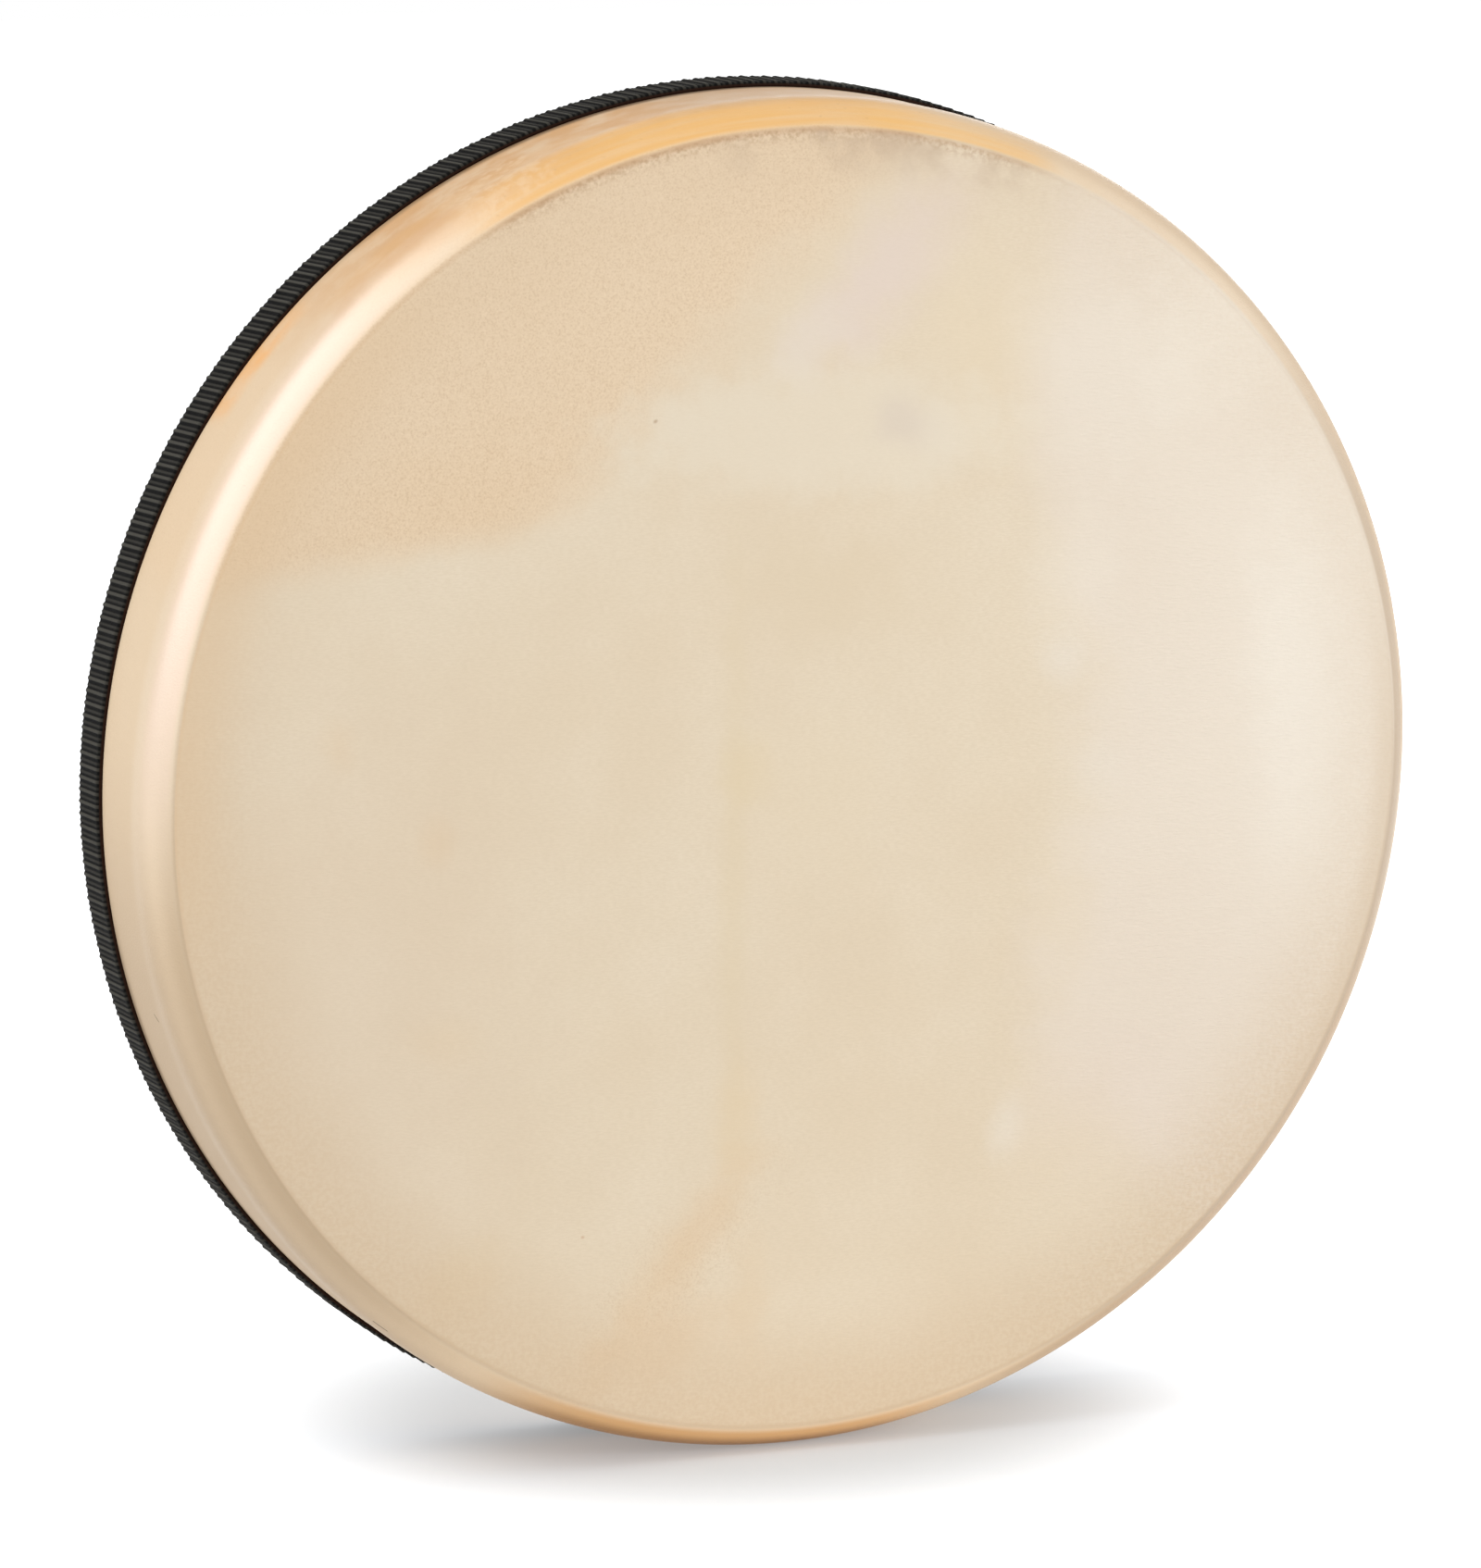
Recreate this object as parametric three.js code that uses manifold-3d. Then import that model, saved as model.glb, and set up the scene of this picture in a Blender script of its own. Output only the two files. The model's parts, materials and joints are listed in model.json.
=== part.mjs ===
// Ocean drum: a shallow bent-wood hoop closed by two hide heads, with loose steel
// beads inside that roll round the hoop and hiss like surf. The heads are tacked to
// the side of the hoop, and a ribbed black ribbon covers the tacks and the cut edges.
//
// Millimetres, +Z up. The drum stands on its rim, with its front head towards -Y and the
// origin on the floor under its middle. It rests on the ribbon and on the wall behind its
// front edge. The ribbon is the thicker of the two, so the drum leans forward a little.

import * as THREE from "three";
import { mergeVertices } from "three/addons/utils/BufferGeometryUtils.js";
import Module from "manifold-3d";

// The drum as a whole
const DRUM_DIAMETER = 400; // across the side wall, over the hide
const DRUM_DEPTH = 62; // from the front head's flat face to the rear one's
const FIT_GAP = 0.3; // between pieces that lie on each other

// Hoop
const HOOP_THICKNESS = 7.35;
const SCARF_LENGTH = 40; // along the hoop, from the outside of the joint to the inside
const SCARF_ANGLE = THREE.MathUtils.degToRad(-37.5); // where the two ends of the strip meet

// Heads
const HIDE_THICKNESS = 1;
const RIM_SLOPE = THREE.MathUtils.degToRad(22); // how steeply the hide leaves the crease
const FRONT_ROLL = 14.5; // depth of the front edge's round-over
const REAR_ROLL = 5; // depth of the rear edge's round-over
const ROLL_LEAD = 5; // length of the curve's handle at the crease
const ROLL_EASE = 0.41; // share of the roll that the curve's handle takes at the wall
const TAIL_GAP = 1; // between the two heads' cut edges, under the ribbon

// Ribbon
const RIBBON_WIDTH = 18;
const RIBBON_THICKNESS = 0.7; // under the ribs
const RIBBON_SETBACK = 2.3; // from the rear head's face to the ribbon's rear edge
const RIB_HEIGHT = 0.5;
const RIB_PITCH = 3.6;
const RIBBON_END_GAP = 0.5; // where the ribbon's two ends meet
const RIBBON_END_ANGLE = THREE.MathUtils.degToRad(-60);
const FOOT_FLAT = 0.6; // how deep the ribs are pressed flat where the drum stands

// Tacks
const TACKS_PER_HEAD = 12;
const TACK_HEAD_DIAMETER = 5.6;
const TACK_HEAD_THICKNESS = 0.4;
const TACK_SHANK_DIAMETER = 1.7;
const TACK_END_WALL = 2.3; // wood left under the tip
const TACK_GAP = 0.15; // between a tack and what it is driven into

// Beads
const BEAD_DIAMETER = 5;
const BEAD_ROWS = 8;
const BEADS_PER_ROW = 4;

// Facets: each tack lies in the middle of a flat facet of the side wall
const SEGMENTS = 6 * TACKS_PER_HEAD;
const HALF_SEGMENT = Math.PI / SEGMENTS;
const FRONT_ROLL_STEPS = 5;
const REAR_ROLL_STEPS = 3;
const TACK_SEGMENTS = 8;
const SCARF_STEPS = 6;
const CUT_MARGIN = 1; // how far a cutting shape reaches past what it cuts

// Worked out from the sizes above
const wallRadius = DRUM_DIAMETER / 2;
const hideAndGap = HIDE_THICKNESS + FIT_GAP;
const hoopOuter = wallRadius - hideAndGap;
const hoopInner = hoopOuter - HOOP_THICKNESS;
const creaseRadius = hoopInner + hideAndGap * Math.tan(RIM_SLOPE / 2);
const ribbonRear = DRUM_DEPTH / 2 - RIBBON_SETBACK;
const ribbonMiddle = ribbonRear - RIBBON_WIDTH / 2;
const ribbonInner = wallRadius + FIT_GAP;
const ribValley = ribbonInner + RIBBON_THICKNESS;
const ribPeak = ribValley + RIB_HEIGHT;
const wallFlat = wallRadius * Math.cos(HALF_SEGMENT); // from the axis to the middle of a facet
const tackLength = hideAndGap + HOOP_THICKNESS - TACK_END_WALL;
const tackOffset = RIBBON_WIDTH / 4;
const beadTrack = hoopInner * Math.cos(HALF_SEGMENT) - FIT_GAP - BEAD_DIAMETER / 2;
const rowPitch = (DRUM_DEPTH - 2 * HIDE_THICKNESS) / BEAD_ROWS;
const beadStep = (BEAD_DIAMETER + FIT_GAP) / beadTrack;

// How it stands: the floor touches the wall where the front edge's round-over ends, and
// the middle of the pressed ribbon
const frontRest = FRONT_ROLL - DRUM_DEPTH / 2;
const floorSlope = (ribPeak - FOOT_FLAT - wallFlat) / (ribbonMiddle - frontRest);
const lean = Math.atan(floorSlope);
const floorDepth = wallFlat - frontRest * floorSlope; // below the axis, in the middle of the drum

const hideFinish = () => new THREE.MeshStandardMaterial({ color: 0xe6d3b4, roughness: 0.45 });
const woodFinish = () => new THREE.MeshStandardMaterial({ color: 0xc79a63, roughness: 0.7 });
const ribbonFinish = () => new THREE.MeshStandardMaterial({ color: 0x232324, roughness: 0.75 });
const steelFinish = () => new THREE.MeshStandardMaterial({ color: 0xb9bcc0, roughness: 0.3, metalness: 1 });

const wasm = await Module();
wasm.setup();

// A closed geometry as a solid that can be cut
function toSolid(geometry) {
  const bare = geometry.clone();
  bare.deleteAttribute("normal");
  bare.deleteAttribute("uv");
  const merged = mergeVertices(bare, 1e-4);
  const vertProperties = new Float32Array(merged.attributes.position.array);
  const triVerts = new Uint32Array(merged.index.array);
  return new wasm.Manifold(new wasm.Mesh({ numProp: 3, vertProperties, triVerts }));
}

function toGeometry(solid) {
  const mesh = solid.getMesh();
  const geometry = new THREE.BufferGeometry();
  geometry.setAttribute("position", new THREE.BufferAttribute(mesh.vertProperties, 3));
  geometry.setIndex(new THREE.BufferAttribute(mesh.triVerts, 1));
  geometry.computeVertexNormals();
  return geometry;
}

function cut(geometry, cutters) {
  const left = cutters.reduce((solid, cutter) => solid.subtract(toSolid(cutter)), toSolid(geometry));
  return toGeometry(left);
}

function addMesh(group, name, geometry, material) {
  const mesh = new THREE.Mesh(geometry, material);
  mesh.name = name;
  group.add(mesh);
  return mesh;
}

// A ring or disc about the drum's axis, with a flat facet at the very bottom
function turned(profile) {
  return new THREE.LatheGeometry(profile, SEGMENTS, HALF_SEGMENT);
}

// Moves each point of an open outline to its left, so that every edge ends up at the
// same distance from where it was
function offsetOutline(points, distance) {
  const normals = points.slice(1).map((point, i) => {
    const edge = point.clone().sub(points[i]).normalize();
    return new THREE.Vector2(-edge.y, edge.x);
  });
  return points.map((point, i) => {
    const before = normals[Math.max(i - 1, 0)];
    const after = normals[Math.min(i, normals.length - 1)];
    const mean = before.clone().add(after).normalize();
    return point.clone().addScaledVector(mean, distance / mean.dot(after));
  });
}

// Outer face of a head from the axis to its cut edge: the flat skin, the crease over
// the hoop's inner edge, the round-over and the tail on the side wall. x is the radius
// and y the distance behind the head's flat face.
function headFace(roll, rollSteps, tail) {
  const lead = new THREE.Vector2(Math.cos(RIM_SLOPE), Math.sin(RIM_SLOPE)).multiplyScalar(ROLL_LEAD);
  const crease = new THREE.Vector2(creaseRadius, 0);
  const roundOver = new THREE.CubicBezierCurve(
    crease,
    crease.clone().add(lead),
    new THREE.Vector2(wallRadius, roll * (1 - ROLL_EASE)),
    new THREE.Vector2(wallRadius, roll),
  );
  return [new THREE.Vector2(0, 0), ...roundOver.getPoints(rollSteps), new THREE.Vector2(wallRadius, tail)];
}

const fromFront = (point) => new THREE.Vector2(point.x, point.y - DRUM_DEPTH / 2);
const fromRear = (point) => new THREE.Vector2(point.x, DRUM_DEPTH / 2 - point.y);

// The two heads' cut edges meet under the middle of the ribbon
const frontTail = DRUM_DEPTH / 2 + ribbonMiddle - TAIL_GAP / 2;
const rearTail = DRUM_DEPTH / 2 - ribbonMiddle - TAIL_GAP / 2;
const frontFace = headFace(FRONT_ROLL, FRONT_ROLL_STEPS, frontTail);
const rearFace = headFace(REAR_ROLL, REAR_ROLL_STEPS, rearTail);

// Tack, or the clearance round one: a thin flat head on a tapered pin, along +Y
function tackShape(growth, headTop) {
  const headRadius = TACK_HEAD_DIAMETER / 2 + growth;
  const shankRadius = TACK_SHANK_DIAMETER / 2 + growth;
  const underHead = -TACK_HEAD_THICKNESS - growth;
  const profile = [
    new THREE.Vector2(0, -tackLength - growth),
    new THREE.Vector2(shankRadius / 2, -tackLength + TACK_SHANK_DIAMETER),
    new THREE.Vector2(shankRadius, underHead),
    new THREE.Vector2(headRadius, underHead),
    new THREE.Vector2(headRadius, headTop),
    new THREE.Vector2(0, headTop),
  ];
  return new THREE.LatheGeometry(profile, TACK_SEGMENTS);
}

// Where each tack is: its turn about the drum's axis from the bottom, and its place along it
function tackPlaces(firstTurn, along) {
  const turn = (2 * Math.PI) / TACKS_PER_HEAD;
  return Array.from({ length: TACKS_PER_HEAD }, (_, i) => ({ turn: firstTurn + i * turn, along }));
}

// Puts something that points along +Y onto the side wall, pointing out from the axis
function tackMatrix({ turn, along }) {
  const outward = new THREE.Matrix4().makeRotationX(-Math.PI / 2);
  const seat = new THREE.Matrix4().makeTranslation(0, along, -wallFlat);
  const spin = new THREE.Matrix4().makeRotationY(turn);
  return spin.multiply(seat).multiply(outward);
}

const frontTacks = tackPlaces(0, ribbonMiddle - tackOffset);
const rearTacks = tackPlaces(Math.PI / TACKS_PER_HEAD, ribbonMiddle + tackOffset);

function tackHoles(places) {
  return places.map((place) => tackShape(TACK_GAP, CUT_MARGIN).applyMatrix4(tackMatrix(place)));
}

function headGeometry(face, place, places) {
  const inside = offsetOutline(face, HIDE_THICKNESS).reverse();
  const profile = [...face, ...inside].map(place);
  const outline = place === fromRear ? profile.reverse() : profile;
  return cut(turned(outline), tackHoles(places));
}

// The thin slit between the strip's two tapered ends, spiralling through the wood
function scarfSlit() {
  const span = SCARF_LENGTH / hoopOuter;
  const side = (shift) => Array.from({ length: SCARF_STEPS + 1 }, (_, i) => {
    const share = i / SCARF_STEPS;
    const angle = SCARF_ANGLE + span * (share - 0.5);
    const low = hoopInner - CUT_MARGIN;
    const radius = low + (HOOP_THICKNESS + 2 * CUT_MARGIN) * share + shift;
    return new THREE.Vector2(radius * Math.cos(angle), radius * Math.sin(angle));
  });
  const outline = [...side(FIT_GAP / 2).reverse(), ...side(-FIT_GAP / 2)];
  return ringExtrusion(outline, DRUM_DEPTH, DRUM_DEPTH / 2);
}

// An outline seen from the front, carried along the drum's axis and ending at rearEnd
function ringExtrusion(outline, length, rearEnd) {
  const shape = new THREE.Shape(outline);
  const geometry = new THREE.ExtrudeGeometry(shape, { depth: length, bevelEnabled: false });
  return geometry.rotateX(Math.PI / 2).translate(0, rearEnd, 0);
}

function hoopGeometry() {
  const front = offsetOutline(frontFace, hideAndGap).slice(1, -1).map(fromFront);
  const rear = offsetOutline(rearFace, hideAndGap).slice(1, -1).map(fromRear).reverse();
  const blank = turned([...front, ...rear, front[0]]);
  return cut(blank, [...tackHoles(frontTacks), ...tackHoles(rearTacks), scarfSlit()]);
}

// A strip laid round the side wall with its ends together: ribs outside, facets inside,
// and pressed flat at the bottom
function ribbonGeometry() {
  const polar = (radius, angle) => new THREE.Vector2(radius * Math.cos(angle), radius * Math.sin(angle));
  const endTurn = RIBBON_END_GAP / ribbonInner / 2;
  const span = 2 * Math.PI - 2 * endTurn;
  const ribs = Math.round((span * ribPeak) / RIB_PITCH);
  const outside = Array.from({ length: 2 * ribs + 1 }, (_, i) => {
    const angle = RIBBON_END_ANGLE + endTurn + (span * i) / (2 * ribs);
    return polar(i % 2 ? ribPeak : ribValley, angle);
  });
  const inside = Array.from({ length: SEGMENTS }, (_, i) => {
    const angle = RIBBON_END_ANGLE + HALF_SEGMENT + i * 2 * HALF_SEGMENT;
    return polar(ribbonInner, angle);
  }).reverse();
  const first = polar(ribbonInner * Math.cos(HALF_SEGMENT), RIBBON_END_ANGLE + endTurn);
  const last = polar(ribbonInner * Math.cos(HALF_SEGMENT), RIBBON_END_ANGLE - endTurn);
  const strip = ringExtrusion([...outside, last, ...inside, first], RIBBON_WIDTH, ribbonRear);
  const floorBlock = new THREE.BoxGeometry(wallRadius, DRUM_DEPTH, 2 * CUT_MARGIN);
  floorBlock.translate(0, ribbonMiddle, -CUT_MARGIN);
  floorBlock.rotateX(-lean);
  floorBlock.translate(0, 0, -floorDepth);
  return cut(strip, [floorBlock]);
}

const drum = new THREE.Group();
drum.rotation.x = lean;
drum.position.z = floorDepth * Math.cos(lean);

addMesh(drum, "hoop", hoopGeometry(), woodFinish());
addMesh(drum, "front_head", headGeometry(frontFace, fromFront, frontTacks), hideFinish());
addMesh(drum, "rear_head", headGeometry(rearFace, fromRear, rearTacks), hideFinish());
addMesh(drum, "ribbon", ribbonGeometry(), ribbonFinish());

function addTacks(prefix, places) {
  places.forEach((place, i) => {
    const tack = addMesh(drum, `${prefix}_${i + 1}`, tackShape(0, 0), steelFinish());
    tack.applyMatrix4(tackMatrix(place));
  });
}

addTacks("front_tack", frontTacks);
addTacks("rear_tack", rearTacks);

// Rows of beads side by side at the bottom of the hoop, each row in its own lane
for (let row = 0; row < BEAD_ROWS; row += 1) {
  const lane = rowPitch * (row + 0.5 - BEAD_ROWS / 2);
  for (let i = 0; i < BEADS_PER_ROW; i += 1) {
    const angle = beadStep * (i + 0.5 - BEADS_PER_ROW / 2);
    const bead = new THREE.IcosahedronGeometry(BEAD_DIAMETER / 2, 1);
    const mesh = addMesh(drum, `bead_${row + 1}_${i + 1}`, bead, steelFinish());
    mesh.position.set(beadTrack * Math.sin(angle), lane, -beadTrack * Math.cos(angle));
  }
}

export default drum;
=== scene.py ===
# %% [markdown]
# # An ocean drum, dressed over its solids
#
# An ocean drum is a shallow wooden hoop with a hide on each side and loose steel beads
# between them. Tip it, and the beads run over the skin with a sound like surf. The hides
# are tacked to the side of the hoop, and a ribbed black ribbon covers the tacks.
#
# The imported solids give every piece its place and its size. They could be shown as they
# are, but a hide with facets and a ribbon with sharp ribs look like a drawing. So the
# solids stay as the frame, and the pieces that show are made again here as fine surfaces.

# %% Load the solids
import json
import math

import bpy
import numpy as np
from mathutils import Matrix, Vector


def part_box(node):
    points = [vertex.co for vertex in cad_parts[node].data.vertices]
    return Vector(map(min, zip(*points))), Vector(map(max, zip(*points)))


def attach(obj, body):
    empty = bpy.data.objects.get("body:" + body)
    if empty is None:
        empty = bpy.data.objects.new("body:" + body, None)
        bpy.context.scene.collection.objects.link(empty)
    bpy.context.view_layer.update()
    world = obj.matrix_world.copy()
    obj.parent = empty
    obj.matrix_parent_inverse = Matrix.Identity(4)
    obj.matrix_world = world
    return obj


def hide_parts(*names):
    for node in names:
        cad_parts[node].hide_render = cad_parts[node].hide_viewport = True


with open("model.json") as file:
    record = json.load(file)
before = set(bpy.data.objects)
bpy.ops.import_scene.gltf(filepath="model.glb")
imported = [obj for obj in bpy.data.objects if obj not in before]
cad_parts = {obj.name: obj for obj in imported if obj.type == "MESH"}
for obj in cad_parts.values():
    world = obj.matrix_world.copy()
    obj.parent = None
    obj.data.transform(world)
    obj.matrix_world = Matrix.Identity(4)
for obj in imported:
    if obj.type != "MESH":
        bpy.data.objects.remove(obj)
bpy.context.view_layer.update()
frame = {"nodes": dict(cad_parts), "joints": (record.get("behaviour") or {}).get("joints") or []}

# %% [markdown]
# ## The drum's own frame
#
# The drum stands on its ribbon and on the wall behind its front edge, so it leans forward
# by a degree or two. Round shapes are awkward to work out about a leaning axis. It is
# easier to make each piece about a level axis, in millimetres, and to stand it up at the
# very end. The beads' hinge lies on the drum's axis, so it tells the lean and the height.

# %% Stand a piece up, or lay a solid back
axis_hinge = frame["joints"][0]
CENTRE_HEIGHT = axis_hinge["pos_m"][2]
LEAN = math.atan2(axis_hinge["axis"][2], axis_hinge["axis"][1])
COS_LEAN, SIN_LEAN = math.cos(LEAN), math.sin(LEAN)


def stand(across, along, up):
    """From the drum's own frame in millimetres to the room in metres: turned about X by
    the lean, then lifted. What would sink into the floor is pressed flat on it."""
    y = along * COS_LEAN - up * SIN_LEAN
    z = along * SIN_LEAN + up * COS_LEAN + 1000 * CENTRE_HEIGHT
    return np.stack([across, y, np.maximum(z, 0)], axis=-1) / 1000


def lay_back(node):
    """A solid's corners in the drum's own frame, in millimetres: the steps of stand()
    undone. Gives three arrays: across, along the axis, and up."""
    mesh = frame["nodes"][node].data
    corners = np.empty(3 * len(mesh.vertices))
    mesh.vertices.foreach_get("co", corners)
    across, y, z = (corners.reshape(-1, 3) - [0, 0, CENTRE_HEIGHT]).T * 1000
    return across, y * COS_LEAN + z * SIN_LEAN, z * COS_LEAN - y * SIN_LEAN


print(f"the drum leans forward by {math.degrees(LEAN):.2f} degrees")

# %% [markdown]
# ## The camera
#
# The photograph was taken with a long lens from about two metres, to the left of the drum
# and a little above its middle. The outline, the crease and the ribbon's two edges are all
# circles, and a camera that draws those ellipses in the right place gives the angles, the
# distance and the lens below. The distance counts from the middle of the front head.

# %% Camera
AZIMUTH, ELEVATION = math.radians(-22.09), math.radians(8.80)
FOCAL_PIXELS, IMAGE_HEIGHT = 8000, 1694
TO_THE_RIGHT, DOWN, AWAY = 0.0186, 0.0009, 2.153

right = Vector((math.cos(AZIMUTH), math.sin(AZIMUTH), 0))
back = Vector((
    math.sin(AZIMUTH) * math.cos(ELEVATION),
    -math.cos(AZIMUTH) * math.cos(ELEVATION),
    math.sin(ELEVATION),
))
up = back.cross(right)
front_middle = Vector(stand(0.0, lay_back("front_head")[1].min(), 0.0))

camera = bpy.data.objects.new("camera", bpy.data.cameras.new("camera"))
camera.data.sensor_width = 36
camera.data.lens = FOCAL_PIXELS / IMAGE_HEIGHT * camera.data.sensor_width
camera_place = front_middle - right * TO_THE_RIGHT + up * DOWN + back * AWAY
camera.matrix_world = Matrix.Translation(camera_place) @ Matrix((right, up, back)).transposed().to_4x4()
bpy.context.scene.collection.objects.link(camera)
bpy.context.scene.camera = camera
print("camera at", tuple(round(value, 3) for value in camera_place), "lens", round(camera.data.lens, 1))

# %% [markdown]
# ## From numbers to a mesh
#
# Each piece is a closed skin: a grid of points whose rows are rings. Blender could spin or
# sweep a curve for that, but a grid worked out with numpy lets every point depend on both
# of its numbers, so a crease can wander and a rib can fade. One function sews any such grid
# into faces, closes both ends at a pole or with a flat face, and turns the faces outwards.

# %% Sew grids into a piece


def sew(grid, poles):
    """Corners and faces of one closed skin. Neighbouring points of neighbouring rings make
    a quad. The end rings are closed by a fan to their middle, or by one flat face."""
    rows, columns = grid.shape[:2]
    ring = np.arange(columns)
    beside = np.roll(ring, -1)
    start = columns * np.arange(rows - 1)[:, None]
    quads = np.stack([start + ring, start + columns + ring, start + columns + beside, start + beside], -1)
    corners = grid.reshape(-1, 3)
    last = columns * (rows - 1)
    if poles:
        corners = np.vstack([corners, grid[0].mean(0), grid[-1].mean(0)])
        pole = np.full(columns, rows * columns)
        caps = np.vstack([
            np.stack([ring, beside, pole], -1),
            np.stack([last + beside, last + ring, pole + 1], -1),
        ]).tolist()
    else:
        caps = [ring.tolist(), (last + ring[::-1]).tolist()]
    a, b, c, d = corners[quads.reshape(-1, 4)].transpose(1, 0, 2)
    volume = np.einsum("ij,ij->", a, np.cross(b, c) + np.cross(c, d))
    faces = quads.reshape(-1, 4).tolist() + caps
    return corners, faces if volume > 0 else [face[::-1] for face in faces]


def make_piece(name, grids, body, material, stands_for, poles=True):
    """A smooth object from one or more grids, riding on a body in place of its solids."""
    corners, faces = np.empty((0, 3)), []
    for grid in grids:
        more_corners, more_faces = sew(grid, poles)
        faces += [[len(corners) + corner for corner in face] for face in more_faces]
        corners = np.vstack([corners, more_corners])
    mesh = bpy.data.meshes.new(name)
    mesh.from_pydata(corners.tolist(), [], faces)
    mesh.shade_smooth()
    mesh.materials.append(material)
    piece = bpy.data.objects.new(name, mesh)
    bpy.context.scene.collection.objects.link(piece)
    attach(piece, body)
    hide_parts(*stands_for)
    print(f"{name}: {len(corners)} corners, {len(faces)} faces")
    return piece


def mark_corners(piece, name, grid):
    """Keeps three numbers for each point of a piece's grid under a name, for the material to
    read. A pole gets the mean of the ring round it."""
    held = np.vstack([grid.reshape(-1, 3), grid[0].mean(0), grid[-1].mean(0)])[:len(piece.data.vertices)]
    piece.data.attributes.new(name, "FLOAT_VECTOR", "POINT").data.foreach_set("vector", held.ravel())


# %% [markdown]
# ## Sums with sockets
#
# A finish is worked out by nodes, and a tree of Math nodes soon gets hard to follow. The
# small class below holds one output socket and lets it take part in ordinary arithmetic,
# so that a mask can be written as a formula. One method makes every other kind of node.

# %% Shade


class Shade:
    """An output socket that can be added, multiplied and so on. Each sign makes a Math node."""

    def __init__(self, tree, socket=None):
        self.tree = tree
        self.socket = socket

    def add(self, kind, settings=None, sockets=None, output=0):
        """One node of a kind, with its settings made first, then its sockets' values or links."""
        node = self.tree.nodes.new("ShaderNode" + kind)
        for name, value in (settings or {}).items():
            setattr(node, name, value)
        for name, value in (sockets or {}).items():
            if isinstance(value, Shade):
                self.tree.links.new(value.socket, node.inputs[name])
            else:
                node.inputs[name].default_value = value
        return Shade(self.tree, node.outputs[output])

    def math(self, operation, *values):
        return self.add("Math", {"operation": operation}, dict(enumerate(values)))

    def __add__(self, other):
        return self.math("ADD", self, other)

    __radd__ = __add__

    def __mul__(self, other):
        return self.math("MULTIPLY", self, other)

    __rmul__ = __mul__

    def __sub__(self, other):
        return self.math("SUBTRACT", self, other)

    def __rsub__(self, other):
        return self.math("SUBTRACT", other, self)

    def __truediv__(self, other):
        return self.math("DIVIDE", self, other)

    def __pow__(self, other):
        return self.math("POWER", self, other)

    def __abs__(self):
        return self.math("ABSOLUTE", self)

    def step(self, low, high):
        """0 below low, 1 above high, and a smooth rise between them."""
        sockets = {"Value": self, "From Min": low, "From Max": high}
        return self.add("MapRange", {"interpolation_type": "SMOOTHSTEP"}, sockets)

    def also(self, output):
        """Another output of the same node."""
        return Shade(self.tree, self.socket.node.outputs[output])

    def split(self):
        """The three parts of a vector."""
        first = self.add("SeparateXYZ", sockets={0: self})
        return [first, first.also(1), first.also(2)]

    def mix(self, below, above):
        """Two colours: below where this mask is 0, above where it is 1."""
        return self.add("Mix", {"data_type": "RGBA"}, {0: self, 6: below, 7: above}, 2)


# %% [markdown]
# Colours are written as a screen shows them, from 0 to 255, and turned into the linear
# light that the shader works with. Places are read from Object coordinates, brought back
# to the drum's own frame in millimetres by a Mapping node, so that "8" means 8 mm.

# %% Colours, places and noise


def paint(red, green, blue):
    """A screen colour as linear light: the usual screen curve undone."""
    screen = np.array([red, green, blue]) / 255
    linear = np.where(screen > 0.04045, ((screen + 0.055) / 1.055) ** 2.4, screen / 12.92)
    return (*linear.tolist(), 1.0)


def new_finish(name):
    """A material, its shader node, and an empty Shade to start sums from."""
    material = bpy.data.materials.new(name)
    material.use_nodes = True
    tree = material.node_tree
    return material, tree.nodes["Principled BSDF"], Shade(tree)


def feed(shader, **sockets):
    """Sets or links the shader's sockets. An underscore in a name stands for a space."""
    for name, value in sockets.items():
        socket = shader.inputs[name.replace("_", " ")]
        if isinstance(value, Shade):
            value.tree.links.new(value.socket, socket)
        else:
            socket.default_value = value


def drum_place(start):
    """Object coordinates moved to the drum's own frame, in millimetres."""
    return start.add("Mapping", {"vector_type": "TEXTURE"}, {
        "Vector": start.add("TexCoord", output="Object"),
        "Location": (0, 0, CENTRE_HEIGHT),
        "Rotation": (LEAN, 0, 0),
        "Scale": (0.001, 0.001, 0.001),
    })


def noise(place, size, detail=3, stretch=(1, 1, 1), shift=0):
    """Cloudy noise from 0 to 1, with lumps about size millimetres across."""
    sockets = {"Vector": place, "Location": (shift,) * 3, "Scale": [1 / size / part for part in stretch]}
    spread = place.add("Mapping", {}, sockets)
    return place.add("TexNoise", {}, {"Vector": spread, "Scale": 1, "Detail": detail})


# %% [markdown]
# ## The hides' shape
#
# A drum head is put on wet. It is stretched over the hoop, pulled down the side and tacked,
# and as it dries it goes drum-tight. The skin is flat up to the hoop's inner edge, where it
# bends in a soft crease. Then it rolls over the rounded edge and lies on the side wall. A
# plain revolve would be too perfect: on a real one the crease wanders by half a millimetre,
# and the roll has low waves where the hide is thicker. So each ring gets its own ripple.

# %% Measure the heads' solids


def measure_head(node):
    """Reads a head's solid: where its flat face is, and the crease, wall, roll and tail."""
    across, along, up = lay_back(node)
    radius = np.hypot(across, up)
    inwards = 1 if along.mean() < 0 else -1
    depth = (along - along[radius.argmin()]) * inwards
    depth -= depth.min()
    wall = radius.max()
    return {
        "inwards": inwards,
        "face": along.min() if inwards > 0 else along.max(),
        "crease": radius[depth < 0.01].max(),
        "wall": wall,
        "roll": depth[radius > wall - 0.01].min(),
        "tail": depth.max(),
    }


front_size, rear_size = measure_head("front_head"), measure_head("rear_head")
print({name: round(float(value), 2) for name, value in front_size.items()})

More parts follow.
